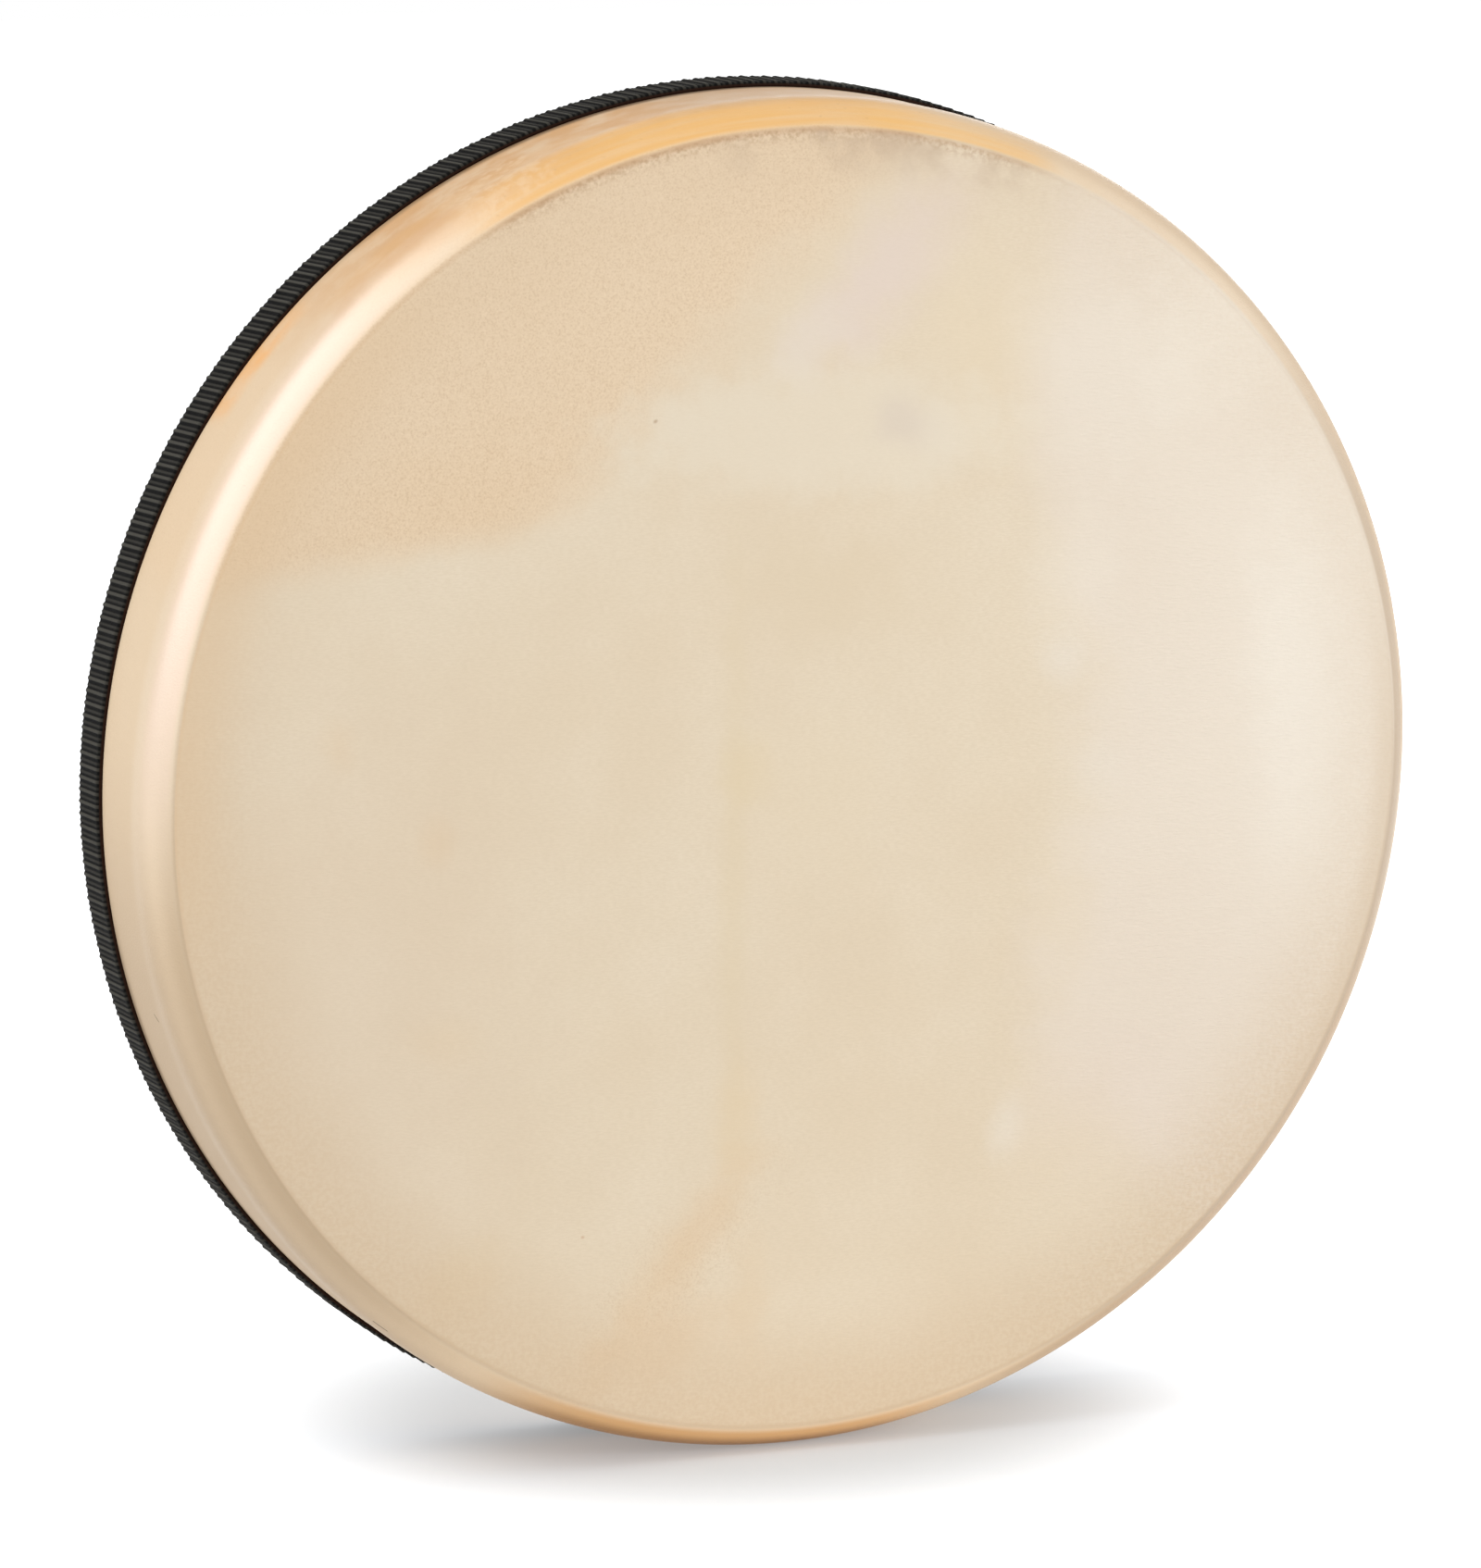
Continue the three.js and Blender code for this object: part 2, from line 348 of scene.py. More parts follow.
# %% Hide surface
TURNS = 360
RIM_SLOPE = math.radians(40)
ROLL_LEAD, ROLL_EASE = 9, 0.41
HIDE_THICKNESS = 1.0
CREASE_SOFTNESS, CREASE_WANDER = 0.7, 0.22
SHRINK, LONG_WAVES, SHORT_WAVES = 0.1, 0.05, 0.03
UNDER_RIBBON = 9.5
angle = np.linspace(0, 2 * np.pi, TURNS, endpoint=False)


def ripple(waves, phase):
    """A wandering line round the drum: sines of a few whole numbers of waves, added up."""
    return sum(np.sin(count * angle + phase * count ** 1.7) / count ** 0.7 for count in waves)


def head_grid(size, phase):
    """The closed skin of a head. Its outer face runs from the axis to the crease in a
    straight line, over the roll on a cubic Bezier curve, and down the wall to the cut edge.
    A logarithm rounds the crease. The inner face is the outer one moved inwards by the
    hide's thickness. Also gives each point's distance past the crease along the skin."""
    crease = size["crease"] + CREASE_WANDER * ripple((2, 3, 7), phase)
    near_crease = [0.972, 0.982, 0.989, 0.9935, 0.9965, 0.9985]
    flat = np.concatenate([np.linspace(0.02, 0.96, 28), near_crease])[:, None]
    t = np.linspace(0, 1, 34)[:, None]
    down = np.linspace(size["roll"], size["tail"], 14)[1:, None]
    one = np.ones(TURNS)
    roll_radius = (
        (1 - t) ** 3 * crease
        + 3 * (1 - t) ** 2 * t * (crease + ROLL_LEAD * math.cos(RIM_SLOPE))
        + (3 * (1 - t) * t ** 2 + t ** 3) * size["wall"]
    )
    roll_depth = (
        3 * (1 - t) ** 2 * t * ROLL_LEAD * math.sin(RIM_SLOPE)
        + 3 * (1 - t) * t ** 2 * size["roll"] * (1 - ROLL_EASE)
        + t ** 3 * size["roll"]
    ) * one
    radius = np.vstack([flat * crease, roll_radius, size["wall"] * one * down ** 0])
    depth = np.vstack([0 * flat * one, roll_depth, down * one])
    steps = np.hypot(np.diff(radius, axis=0, prepend=0), np.diff(depth, axis=0, prepend=0))
    past = np.cumsum(steps, axis=0)
    past -= past[len(flat)]
    bend = CREASE_SOFTNESS * np.log1p(np.exp(-abs(past) / CREASE_SOFTNESS))
    depth += math.sin(RIM_SLOPE) * bend
    on_wood = np.clip(past / 8, 0, 1) * np.clip((past[-1] - past - UNDER_RIBBON) / 6, 0, 1)
    waves = LONG_WAVES * ripple((5, 9, 14), phase + 1) + SHORT_WAVES * ripple((23, 31), phase)
    radius -= on_wood * (SHRINK + waves)
    run, fall = np.gradient(radius, axis=0), np.gradient(depth, axis=0)
    length = np.hypot(run, fall)
    inner_radius = radius - HIDE_THICKNESS * fall / length
    inner_depth = depth + HIDE_THICKNESS * run / length
    radius, depth = np.vstack([radius, inner_radius[::-1]]), np.vstack([depth, inner_depth[::-1]])
    along = size["face"] + size["inwards"] * depth
    return stand(radius * np.cos(angle), along, radius * np.sin(angle)), np.vstack([past, past[::-1]])


front_grid, front_past = head_grid(front_size, 0.9)
rear_grid, rear_past = head_grid(rear_size, 2.3)
print("front hide grid", front_grid.shape, "skin past the crease", front_past.max().round(1), "mm")

# %% [markdown]
# ## The hide's colours
#
# Rawhide is cream with clouds of warmer and cooler tone: the grain side of a goat or calf
# skin, scraped and sun-dried. A picture of a hide could be wrapped on, but a worked-out
# finish stays sharp at any size. First come soft clouds of three creams, and a fine grain.

# %% Cream clouds


def cream(place, shift):
    """Three creams in wide clouds, and a fine grain drawn out sideways."""
    wide = noise(place, 75, 2, shift=shift)
    middling = noise(place, 24, 3, shift=shift + 40)
    small = noise(place, 0.45, 2, stretch=(4, 1, 1), shift=shift + 80)
    colour = wide.step(0.3, 0.7).mix(paint(226, 209, 183), paint(229, 214, 190))
    colour = (0.25 * middling.step(0.45, 0.75)).mix(colour, paint(222, 204, 177))
    colour = (0.25 * middling.step(0.5, 0.25)).mix(colour, paint(233, 219, 197))
    return (0.35 * small.step(0.3, 0.7)).mix(colour, paint(216, 198, 170))


# %% [markdown]
# Every hide has its own marks, and this one has clear ones. A warm wedge fills the upper
# left, with a level lower edge and a slanting one. A lilac streak and a grey spot lie beside
# it, the right is paler, a faint spine runs down the middle, and an orange streak runs off
# to the bottom. Each mark is an ellipse in millimetres on the face, and noise frays its edge.
# The wedge and the orange streak are rougher skin, so dark and light flecks lie there.
# Not all of it is the hide's own tone. A ramp that lightens towards the right and a tall
# ellipse at the right edge are a painted sheen, and a wide ellipse on the lower left is a
# painted shade.

# %% Marks on the front hide
MARKS = [
    # middle, half sizes, turn in degrees, softness, colour, strength
    # painted shade: this wide ellipse darkens the lower left of the face
    ((-138, -60), (58, 100), 0, 0.9, (219, 199, 175), 0.36),
    ((24, 150), (35, 15), 50, 0.9, (225, 208, 196), 0.75),
    ((-1, 130), (14, 9), 40, 0.9, (227, 214, 199), 0.6),
    ((30, 106), (11, 8), -20, 0.9, (207, 189, 174), 0.75),
    ((42, 102), (8, 11), 20, 0.9, (228, 217, 200), 0.4),
    ((56, 124), (20, 32), 10, 0.9, (230, 213, 184), 0.5),
    ((95, 119), (32, 36), 0, 0.8, (233, 222, 206), 0.6),
    ((8, 104), (66, 21), 0, 0.45, (230, 219, 199), 0.5),
    ((4, 58), (30, 18), 0, 0.8, (221, 203, 174), 0.5),
    ((-22, -18), (5, 92), 0, 0.9, (222, 204, 172), 0.45),
    ((-18, 6), (8, 12), 0, 0.9, (223, 203, 164), 0.35),
    ((-20, -100), (8, 20), 0, 0.9, (225, 202, 165), 0.4),
    ((-38, -138), (40, 9), 52, 1.0, (222, 193, 156), 0.5),
    ((-47, -164), (30, 12), 20, 0.9, (222, 193, 157), 0.4),
    ((-15, -150), (6, 22), 0, 0.9, (224, 200, 166), 0.3),
    ((-143, 20), (5, 8), 20, 0.9, (222, 195, 160), 0.25),
    ((-114, -10), (6, 7), 0, 0.9, (222, 193, 157), 0.25),
    ((-110, -68), (12, 8), 0, 0.9, (224, 200, 165), 0.2),
    ((-105, -139), (16, 11), 30, 0.9, (222, 198, 160), 0.35),
    ((82, 34), (8, 9), 0, 0.9, (232, 223, 210), 0.45),
    ((95, 0), (9, 10), 0, 0.9, (232, 223, 210), 0.3),
    ((66, -107), (6, 10), -15, 0.9, (233, 225, 212), 0.4),
    ((102, -102), (32, 26), 0, 0.9, (229, 213, 198), 0.5),
    ((130, -75), (45, 50), 0, 0.9, (226, 211, 193), 0.45),
    ((128, 131), (26, 26), 0, 0.9, (241, 232, 217), 0.45),
    ((85, 61), (16, 20), 0, 0.9, (236, 226, 211), 0.4),
    ((2, 0), (24, 30), 0, 0.9, (225, 207, 177), 0.3),
    ((84, -45), (12, 22), 0, 0.8, (229, 213, 188), 0.5),
    ((89, -120), (22, 20), 0, 0.9, (226, 209, 182), 0.45),
    # painted sheen: a tall pale glare along the right edge of the face
    ((160, 24), (18, 66), 4, 0.9, (239, 230, 216), 0.7),
    ((-47.6, 109), (0.7, 0.5), 30, 0.9, (176, 146, 114), 0.65),
    ((-68, -129), (0.6, 0.5), 0, 0.9, (196, 150, 108), 0.5),
]


def ellipse(place, middle, half, turn, soft, fray):
    """1 inside a turned ellipse and 0 outside it. Its reach is the length of the place,
    moved to the middle, turned, and measured in half sizes. Fray moves the edge."""
    spread = place.add("Mapping", {"vector_type": "TEXTURE"}, {
        "Vector": place,
        "Location": (middle[0], 0, middle[1]),
        "Rotation": (0, -math.radians(turn), 0),
        "Scale": (half[0], 1000, half[1]),
    })
    reach = place.add("VectorMath", {"operation": "LENGTH"}, {0: spread}, 1)
    return (reach + fray).step(1 + soft / 2, 1 - soft)


def front_marks(colour, place, across, up):
    """The marks laid over the cream, from the widest to the smallest. The pale side begins at
    a line that swings with a cosine of the height, and a ramp towards the right adds a
    painted sheen over it. The wedge is where two straight edges overlap. Also gives the
    wedge's mask."""
    fray = noise(place, 9, 3, shift=120) - 0.5
    coarse = noise(place, 30, 2, shift=160) - 0.5
    swing = 0.0314 * (up - 14)
    edge = 82 + 11 * swing.math("COSINE", swing) + 46 * up.step(-50, -150)
    pale = (across - edge + 34 * coarse + 16 * fray).step(-14, 14)
    colour = (0.65 * pale).mix(colour, paint(230, 217, 202))
    # painted sheen: lighter and paler towards the right edge, over the hide's own paler side
    colour = (0.5 * across.step(60, 180)).mix(colour, paint(240, 231, 217))
    above = (up - 73 - 0.127 * (across + 125) + 5 * fray + 4 * coarse).step(-6, 8)
    left = (0.721 * (up - 85) - 0.693 * (across + 78) + 12 * fray + 16 * coarse).step(-13, 14)
    wedge = above * left
    colour = (0.6 * wedge).mix(colour, paint(227, 199, 164))
    ember = ellipse(place, (-92, 86), (74, 24), 6, 0.9, fray)
    colour = (0.2 * wedge * ember).mix(colour, paint(221, 191, 152))
    fleck = noise(place, 0.6, 3, shift=300)
    streaked = ellipse(place, (-44, -148), (52, 16), 46, 0.9, fray)
    coarsely = wedge.math("MAXIMUM", wedge, streaked)
    colour = (0.32 * coarsely * fleck.step(0.48, 0.72)).mix(colour, paint(194, 160, 122))
    colour = (0.24 * coarsely * fleck.step(0.48, 0.28)).mix(colour, paint(244, 224, 198))
    for middle, half, turn, soft, tone, strength in MARKS:
        mask = ellipse(place, middle, half, turn, soft, fray * 0.9)
        colour = (strength * mask).mix(colour, paint(*tone))
    return colour, wedge


# %% [markdown]
# Where the hide lies on the wood it is darker and warmer than where light passes behind it.
# The rim is amber at the top and the bottom, where glue soaked in, and a thin brown line
# runs along the crease. Painted shade darkens the rim away from the key light, the lower
# left and the right of the roll, the face inside the crease towards the bottom, and a band
# beside the ribbon. A rosier tone under the lamp's bright band is a painted tint of the
# highlight. The skin's own measure, its distance past the crease, says where a
# point is on the roll or the wall. So each tone of the rim has a range of angle and of skin.
# Two small scratches are short strokes between two places.

# %% Rim and crease
RIM_TONES = [
    # angle, half, soft; skin from, full, fading, gone; colour; strength; texture
    # painted shade: darker just inside the crease on the left
    ((160, 24, 14), (-23, -1, -0.3, 0.3), (222, 192, 154), 0.5, "plain"),
    ((110, 18, 16), (4, 14, 90, 99), (212, 163, 110), 0.9, "patchy"),
    ((100, 20, 5), (0.2, 2.5, 12, 18), (236, 184, 112), 0.9, "streak"),
    ((76, 8, 3), (0.2, 2.0, 7, 13), (240, 190, 118), 0.75, "streak"),
    # painted highlight tint: a rosier tone under the lamp's bright band
    ((155, 20, 10), (0.5, 3, 9, 14), (238, 206, 184), 0.5, "plain"),
    ((117, 3, 3), (3, 7, 26, 36), (246, 224, 192), 0.4, "blotch"),
    ((121, 8, 8), (3, 8, 24, 30), (226, 176, 116), 0.35, "plain"),
    ((141, 4.5, 2.5), (30, 39, 90, 99), (242, 178, 106), 0.8, "patchy"),
    ((264, 17, 9), (0, 4, 90, 99), (216, 168, 110), 0.9, "plain"),
    # amber-brown stain on the bottom roll, partly painted shade on its underside
    ((263, 15, 8), (4, 10, 90, 99), (144, 102, 62), 0.75, "plain"),
    # painted shade: the lower left of the roll and wall, which face down
    ((209, 17, 13), (-0.2, 0.8, 90, 99), (196, 172, 142), 0.4, "plain"),
    ((206, 22, 12), (8, 14, 90, 99), (180, 158, 132), 0.22, "plain"),
    ((204, 24, 12), (-0.3, 0.3, 2, 9), (184, 158, 126), 0.45, "plain"),
    # painted shade: the right of the rim, away from the key light, and its crease
    ((330, 26, 14), (-0.6, 0.1, 1, 5), (186, 160, 128), 0.4, "plain"),
    ((346, 20, 14), (-10, -1.5, -0.3, 0.3), (212, 190, 162), 0.45, "plain"),
    ((345, 44, 18), (-0.3, 1.5, 5, 9), (184, 162, 138), 0.62, "plain"),
    ((345, 60, 20), (8, 11, 16, 20), (198, 178, 152), 0.35, "plain"),
    ((306, 16, 12), (2, 5, 16, 20), (190, 166, 138), 0.45, "plain"),
    ((316, 24, 12), (0.5, 4, 90, 99), (204, 170, 130), 0.6, "plain"),
    ((38, 36, 16), (3, 8, 90, 99), (220, 194, 162), 0.65, "plain"),
    ((94, 26, 4), (-1.8, -0.1, 0.3, 1.6), (186, 144, 102), 0.5, "patchy"),
    ((95, 24, 5), (-5, -0.4, -0.2, 0.6), (178, 142, 106), 0.6, "specks"),
    ((82, 12, 8), (-17, -2, -1, 0.5), (194, 170, 144), 0.7, "spotty"),
    ((88, 10, 8), (9, 16, 90, 99), (178, 148, 118), 0.5, "plain"),
    # painted shadow: a dark band on the wall beside the ribbon
    ((100, 22, 12), (40, 44, 90, 99), (110, 84, 60), 0.8, "plain"),
    ((92, 14, 8), (40, 44, 90, 99), (80, 62, 46), 0.5, "plain"),
    ((212, 16, 10), (40, 44, 90, 99), (110, 84, 60), 0.6, "plain"),
]
SCRATCHES = [
    # one end, the other end, width
    ((-129.5, -22.9, -150.9), (-125.4, -23.3, -154.1), 0.35),
    ((-191.3, -9.5, -58.5), (-190.7, -12.2, -60.1), 0.35),
]
print(len(MARKS), "marks on the face,", len(RIM_TONES), "tones on the rim,", len(SCRATCHES), "scratches")


def stroke(place, one, two, width):
    """1 near the straight line between two places. The share of the line that is nearest,
    kept between 0 and 1, gives the nearest point, and the length from it is compared."""
    line = Vector(two) - Vector(one)
    per_length = line / line.length_squared
    away = place.add("VectorMath", {"operation": "SUBTRACT"}, {0: place, 1: one})
    share = place.add("VectorMath", {"operation": "DOT_PRODUCT"}, {0: away, 1: per_length}, 1)
    share = share.math("MAXIMUM", share.math("MINIMUM", share, 1), 0)
    rest = place.add("VectorMath", {"operation": "MULTIPLY_ADD"}, {0: share, 1: -line, 2: away})
    return place.add("VectorMath", {"operation": "LENGTH"}, {0: rest}, 1).step(width, width / 3)


def window(across, up, radius, middle, half, soft):
    """1 near an angle round the rim: compares the cosine of the turn away from it."""
    cos, sin = math.cos(math.radians(middle)), math.sin(math.radians(middle))
    closeness = (cos * across + sin * up) / radius
    return closeness.step(math.cos(math.radians(half + soft)), math.cos(math.radians(half - soft)))


def rim_tones(colour, place, past, across, up, radius):
    """The tone of skin on wood, a painted shade on the roll and wall that is lightest where
    the key light falls, a thin brown line along the crease all round, a painted shade inside
    the crease that is strongest at the bottom, then the tones of the table."""
    colour = (0.6 * past.step(-0.3, 2.5)).mix(colour, paint(238, 210, 174))
    # painted shade: the roll and wall past the crease are darker, least on the upper left where the key
    # light falls
    key_lit_side = window(across, up, radius, 140, 40, 25)
    colour = ((0.68 - 0.42 * key_lit_side) * past.step(5, 13)).mix(colour, paint(212, 186, 154))
    # a thin brown line along the crease, fainter on the upper right
    crease_line = past.step(-1.4, 0) * past.step(1.6, 0.2)
    fainter_right = window(across, up, radius, 40, 45, 20)
    colour = ((0.28 - 0.2 * fainter_right) * crease_line).mix(colour, paint(188, 146, 102))
    # painted shade: a wide band inside the crease, strongest at the bottom, broken by a fine grain
    inside = past.step(-42, -0.5) * past.step(0.3, -0.3)
    inside = inside * (0.3 + 0.7 * window(across, up, radius, 255, 85, 30))
    inside = inside * (0.8 + 0.4 * noise(place, 1.3, 4, shift=270).step(0.35, 0.65))
    colour = (0.6 * inside).mix(colour, paint(211, 186, 154))
    turn = up.math("ARCTAN2", up, across)
    lengthwise = place.add("CombineXYZ", sockets={0: turn * 9, 1: past})
    patchy = noise(place, 12, 3, shift=200)
    textures = {
        "plain": 1,
        "patchy": 0.35 + 0.65 * patchy.step(0.3, 0.65),
        "spotty": patchy.step(0.35, 0.7),
        "streak": 0.65 + 0.35 * noise(lengthwise, 1.8, 3).step(0.25, 0.7),
        "blotch": noise(place, 3.5, 4, shift=220).step(0.4, 0.65),
        "specks": noise(place, 1.3, 4, shift=240).step(0.35, 0.7),
    }
    for turned, (start, full, fading, gone), tone, strength, texture in RIM_TONES:
        mask = window(across, up, radius, *turned) * past.step(start, full) * past.step(gone, fading)
        colour = (strength * mask * textures[texture]).mix(colour, paint(*tone))
    return colour


# %% [markdown]
# Close up, a hide has pores where hairs grew and a fine pebbled grain. They are too small to
# model, so the pores are dots in the colour and the grain is a Bump on the light. The grain
# is drawn out sideways, the way the skin was stretched. Hands have polished the roll at the
# upper left, so a clear coat lies on the skin there, and the lamp draws a bright band in it.

# %% Hide finish
PORES, PORES_IN_WEDGE = 0.15, 0.6
SMALLEST_RADIUS = 0.001


def hide_finish(name, shift, marked):
    """The whole finish of a head. marked adds the front hide's own marks."""
    material, shader, start = new_finish(name)
    place = drum_place(start)
    across, _, up = place.split()
    past = start.add("Attribute", {"attribute_name": "skin"}, output=1).split()[0]
    radius = (across * across + up * up) ** 0.5 + SMALLEST_RADIUS
    colour = cream(place, shift)
    thickly = PORES
    if marked:
        colour, wedge = front_marks(colour, place, across, up)
        thickly = PORES + PORES_IN_WEDGE * wedge
    colour = rim_tones(colour, place, past, across, up, radius)
    for one, two, width in SCRATCHES if marked else []:
        colour = (0.9 * stroke(place, one, two, width)).mix(colour, paint(90, 64, 36))
    hairs = start.add("Mapping", {}, {"Vector": place, "Rotation": (0, 0.6, 0), "Scale": (0.3, 0.3, 0.8)})
    cell = start.add("TexVoronoi", {}, {"Vector": hairs, "Scale": 1})
    pore = cell.step(0.22, 0.06) * cell.also("Color").split()[0].step(0.4, 1.0)
    colour = (0.2 * thickly * pore).mix(colour, paint(170, 132, 96))
    grain = noise(place, 0.6, 2, stretch=(4, 1, 1), shift=shift)
    worn = noise(place, 18, 2, shift=shift + 250)
    height = grain * (1 + 1.4 * across.step(40, 120) + past.step(0, 6)) + 2 * worn
    bump = start.add("Bump", {}, {"Strength": 0.7, "Distance": 0.0001, "Height": height})
    rough = 0.46 - 0.14 * past.step(-1, 4) + 0.2 * past.step(12, 22) + 0.08 * worn + 0.06 * grain
    polish = past.step(-0.8, 3) * past.step(20, 7) * window(across, up, radius, 151, 29, 13)
    feed(shader, Base_Color=colour, Roughness=rough, Normal=bump, Coat_Weight=polish)
    feed(shader, Specular_IOR_Level=0.22, Coat_Roughness=0.42, Coat_IOR=2.15)
    return material


front_finish = hide_finish("front hide", 0, True)
rear_finish = hide_finish("rear hide", 500, False)
print("front hide finish:", len(front_finish.node_tree.nodes), "nodes")

# %% Front and rear hides
front_hide = make_piece("front_hide", [front_grid], "drum", front_finish, ["front_head"])
rear_hide = make_piece("rear_hide", [rear_grid], "drum", rear_finish, ["rear_head"])
for hide, past in ((front_hide, front_past), (rear_hide, rear_past)):
    mark_corners(hide, "skin", np.stack([past, 0 * past, 0 * past], -1))

# %% [markdown]
# ## The ribbon
#
# The ribbon is a stout black webbing, woven with thick yarns across it, so that ribs run
# from edge to edge, a little askew. They come in pairs, a thick yarn and a thinner one, with
# a groove beside each. Near both edges the ribs die away into a smooth selvedge. An array of
# ribs along a curve would do, but a profile carried round the drum keeps it one woven strip,
# and lets each rib swell and fade.

# %% Ribbon surface
TOOTH_PITCH = 3.6
COLUMNS_PER_TOOTH = 14
STRIP_HEIGHT, YARN_HEIGHT, SKEW = 1.06, 0.85, 0.055
GROOVE_FLOOR, SECOND_YARN = 0.5, 0.72
RIBBON_ENDS = math.radians(-60)
END_GAP = 0.2
ON_THE_HIDE, MID_STRIP = 0.02, 0.4

across, along, up = lay_back("ribbon")
ribbon_peak, ribbon_front, ribbon_rear = np.hypot(across, up).max(), along.min(), along.max()
ribbon_inner = front_size["wall"] + ON_THE_HIDE


def ribbon_grid():
    """A closed section carried round the drum. Its height above the wall is a smooth strip
    plus ribs. A tooth is two half-round yarns, the second one lower, with grooves that reach
    half way down. A weight takes the ribs down at the selvedges, and a turn that grows across
    the strip sets them askew."""
    half = (ribbon_rear - ribbon_front) / 2
    middle = (ribbon_rear + ribbon_front) / 2
    edge = np.array([half, half, half - 0.2, half - 0.5, half - 0.9, half - 1.5, half - 5.5])
    lift = np.array([0, 0.35, 0.65, 0.88, 1.0, 1.0, 1.0]) * STRIP_HEIGHT
    weight = np.array([0, 0.1, 0.3, 0.6, 0.85, 1, 1])
    across_strip = np.concatenate([-edge, edge[::-1], [half - 0.3, 0, 0.3 - half]])
    lifts = np.concatenate([lift, lift[::-1], [0, 0, 0]])
    weights = np.concatenate([weight, weight[::-1], [0, 0, 0]])
    clear = END_GAP / ribbon_peak / 2
    span = 2 * np.pi - 2 * clear
    teeth = round(span * ribbon_peak / TOOTH_PITCH)
    share = np.linspace(0, 1, teeth * COLUMNS_PER_TOOTH + 1)
    turn = (RIBBON_ENDS + clear + span * share)[:, None] + SKEW * across_strip / ribbon_peak
    tooth, number = (share * teeth) % 1, np.floor(share * teeth)
    swell = 1 + 0.1 * np.sin(1.7 * number) * np.sin(0.9 * number)
    first = np.sqrt(np.clip(1 - ((tooth - 0.21) / 0.21) ** 2, 0, 1))
    second = SECOND_YARN * np.sqrt(np.clip(1 - ((tooth - 0.75) / 0.19) ** 2, 0, 1))
    ribs = swell * np.maximum(GROOVE_FLOOR, np.maximum(first, second))
    radius = ribbon_inner + lifts + weights * YARN_HEIGHT * ribs[:, None]
    points = stand(radius * np.cos(turn), middle + across_strip + 0 * radius, radius * np.sin(turn))
    level = 0 * radius
    strip = np.stack([level + (share * teeth)[:, None], level + across_strip, level + weights], -1)
    return points, strip, teeth


ribbon_points, ribbon_strip, ribbon_teeth = ribbon_grid()
print("ribbon:", ribbon_teeth, "teeth,", round(ribbon_rear - ribbon_front, 1), "mm wide")

# %% [markdown]
# The webbing is nearly black. A painted highlight makes the top of each yarn a warm
# charcoal, and painted shade takes the grooves to black. Fine threads run along the strip
# over the ribs, side by side, and they shift by half a thread from one rib to the next, as a
# plain weave does. The selvedge is smooth, and dark brown along its outer edge.

# %% Ribbon finish
THREAD = 0.42


def ribbon_finish():
    """Near-black yarn with a painted highlight along each yarn's top and painted shade in the
    grooves, a thread pattern in the bump, and plain edges.
    """
    material, shader, start = new_finish("ribbed webbing")
    tooth, across, ribbed = start.add("Attribute", {"attribute_name": "strip"}, output=1).split()
    place = drum_place(start)
    phase = tooth.math("FRACT", tooth)
    # masks for painted shade in the grooves and a painted highlight along the top of each yarn
    groove = abs(phase * 2 - 1).step(0.86, 0.97) + abs(phase - 0.5).step(0.14, 0.06)
    lit = abs(phase - 0.19).step(0.18, 0.08) + 0.45 * abs(phase - 0.74).step(0.16, 0.04)
    rib_number = tooth.math("FLOOR", tooth * 2)
    weave = (across / THREAD + 0.5 * rib_number) * (2 * math.pi)
    thread = weave.math("SINE", weave)
    fuzz = noise(place, 0.5, 3)
    dusty = noise(place, 9, 3, shift=30)
    colour = (0.75 * dusty.step(0.35, 0.7)).mix(paint(14, 13, 12), paint(20, 19, 17))
    # painted highlight: the tops of the yarns lighter
    colour = (0.9 * lit * ribbed).mix(colour, paint(78, 76, 70))
    colour = (0.12 * fuzz.step(0.5, 0.8)).mix(colour, paint(72, 68, 62))
    # painted shade: the grooves near black
    colour = (0.9 * groove * ribbed).mix(colour, paint(3, 3, 3))
    # dark brown along the outer edge of the selvedge
    edge = abs(across).step(8.65, 8.9)
    colour = (0.8 * edge).mix(colour, paint(44, 24, 14))
    height = ribbed * (0.5 + 0.5 * thread) + 0.8 * fuzz
    bump = start.add("Bump", {}, {"Strength": 0.7, "Distance": 0.00012, "Height": height})
    feed(shader, Base_Color=colour, Roughness=0.62 + 0.2 * fuzz, Normal=bump)
    feed(shader, Specular_IOR_Level=0.05)
    return material


webbing = ribbon_finish()
ribbon = make_piece("ribbed_ribbon", [ribbon_points], "drum", webbing, ["ribbon"], poles=False)
mark_corners(ribbon, "strip", ribbon_strip)
ribbon_length = 2 * math.pi * (ribbon_inner + MID_STRIP) / 1000

# %% [markdown]
# ## The beads
#
# The beads are bearing balls of bright steel. They roll inside, out of sight, but a hand that
# takes the drum apart finds them. The solids show them as coarse balls. Here each is a
# smooth sphere at the same place, and a row of them rides on its own body.

# %% Bead finish


def bead_finish():
    """Polished steel with faint rub marks."""
    material, shader, start = new_finish("bead steel")
    rubbed = noise(drum_place(start), 1.5, 4)
    colour = rubbed.step(0.4, 0.7).mix(paint(214, 216, 220), paint(190, 193, 198))
    feed(shader, Base_Color=colour, Roughness=0.12 + 0.16 * rubbed, Metallic=1.0)
    return material


# %% Beads
BEAD_ROWS, BEADS_PER_ROW = 8, 4
latitude = np.linspace(-90, 90, 13)[1:-1, None] * np.pi / 180
longitude = np.linspace(0, 2 * np.pi, 20, endpoint=False)


def ball_grid(node):
    """A sphere about the middle of a bead's solid: rings of latitude, closed at two poles."""
    low, high = (np.array(corner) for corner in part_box(node))
    radius = (high - low).max() / 2
    ring = np.cos(latitude)
    upward = np.sin(latitude) + 0 * longitude
    unit = np.stack([ring * np.cos(longitude), ring * np.sin(longitude), upward], -1)
    return (low + high) / 2 + radius * unit


